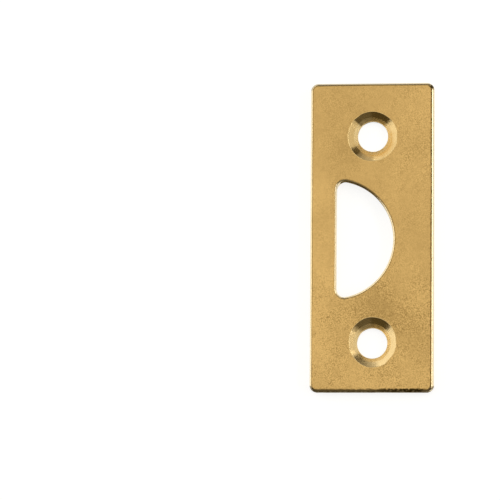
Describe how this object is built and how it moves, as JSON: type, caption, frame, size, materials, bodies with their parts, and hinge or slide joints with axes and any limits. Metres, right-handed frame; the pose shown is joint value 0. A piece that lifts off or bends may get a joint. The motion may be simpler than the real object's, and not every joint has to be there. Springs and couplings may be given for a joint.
{
  "type": "door strike plate",
  "caption": "Flat rectangular brass strike plate with a half-moon latch opening between countersunk screw holes and softly rounded front edges.",
  "frame": {"origin": "centre of the back face, on the plane that the plate lies on and is screwed against", "axes": "+X across the plate, from the straight side of the latch opening towards its arc; +Y along the plate; +Z out of the front face"},
  "size_m": [0.02, 0.05, 0.002],
  "materials": {
    "brass": "solid brass, tumbled to a fine satin grain, bare metal"
  },
  "bodies": {
    "root": {"strike_plate": "brass"}
  },
  "joints": []
}
